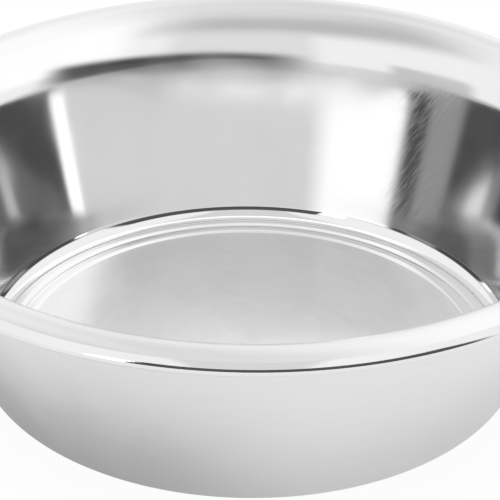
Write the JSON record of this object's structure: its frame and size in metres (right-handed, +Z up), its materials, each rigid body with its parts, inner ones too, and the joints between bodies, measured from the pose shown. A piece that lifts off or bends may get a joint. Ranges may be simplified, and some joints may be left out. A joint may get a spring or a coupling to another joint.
{
  "type": "bowl",
  "caption": "Round flat-bottomed steel pan with a tapered wall, a broad folded rim and shallow ring beads around the floor.",
  "frame": {"origin": "centre of the underside, on the surface that the pan stands on", "axes": "+Z up along the axis of revolution, through the open mouth; X and Y are free, because the pan is round"},
  "size_m": [0.231, 0.231, 0.0675],
  "materials": {
    "steel": "polished inside, fine satin outside and on the floor"
  },
  "bodies": {
    "root": {"pan_shell": "steel"}
  },
  "joints": []
}
